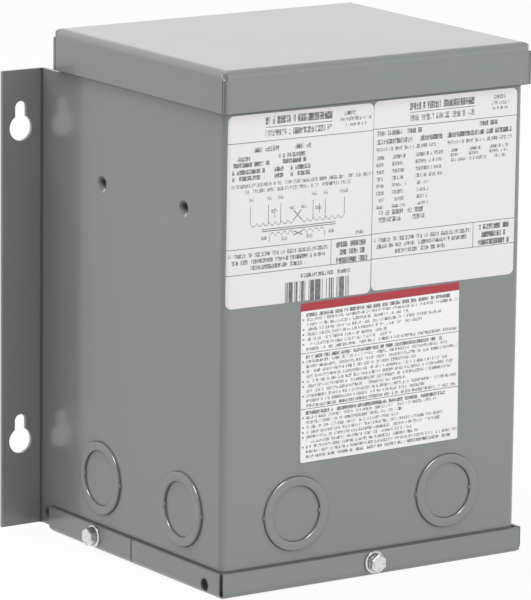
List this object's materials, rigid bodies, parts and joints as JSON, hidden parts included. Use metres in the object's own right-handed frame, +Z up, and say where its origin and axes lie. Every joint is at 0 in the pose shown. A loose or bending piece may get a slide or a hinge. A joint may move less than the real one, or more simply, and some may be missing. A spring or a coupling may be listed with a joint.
{
  "type": "general purpose transformer",
  "caption": "Wall-mount dry-type transformer in a grey sheet-steel rainproof case with slip-over lid, screwed bottom covers, conduit knockouts and keyhole wall flanges.",
  "frame": {"origin": "underside of the bottom covers, on the plane of symmetry, midway between the front face of the case and the plane of the wall", "axes": "+Z up, -Y out of the front, +X to the right of someone facing the front"},
  "size_m": [0.1804, 0.1431, 0.21],
  "materials": {
    "case_paint": "semi-gloss",
    "screw_zinc": "bright zinc",
    "potting": "cast compound"
  },
  "bodies": {
    "root": {"enclosure_wrap": "case_paint", "back_plate": "case_paint", "top_cover": "case_paint", "bottom_front_cover": "case_paint", "bottom_rear_cover": "case_paint", "potted_core": "potting", "front_cover_screw": "screw_zinc", "left_cover_screw": "screw_zinc", "right_cover_screw": "screw_zinc", "front_left_knockout_ring": "case_paint", "front_left_knockout_slug": "case_paint", "left_front_knockout_ring": "case_paint", "left_front_knockout_slug": "case_paint", "left_rear_knockout_ring": "case_paint", "left_rear_knockout_slug": "case_paint", "front_right_knockout_ring": "case_paint", "front_right_knockout_slug": "case_paint", "right_front_knockout_ring": "case_paint", "right_front_knockout_slug": "case_paint", "right_rear_knockout_ring": "case_paint", "right_rear_knockout_slug": "case_paint"}
  },
  "joints": []
}
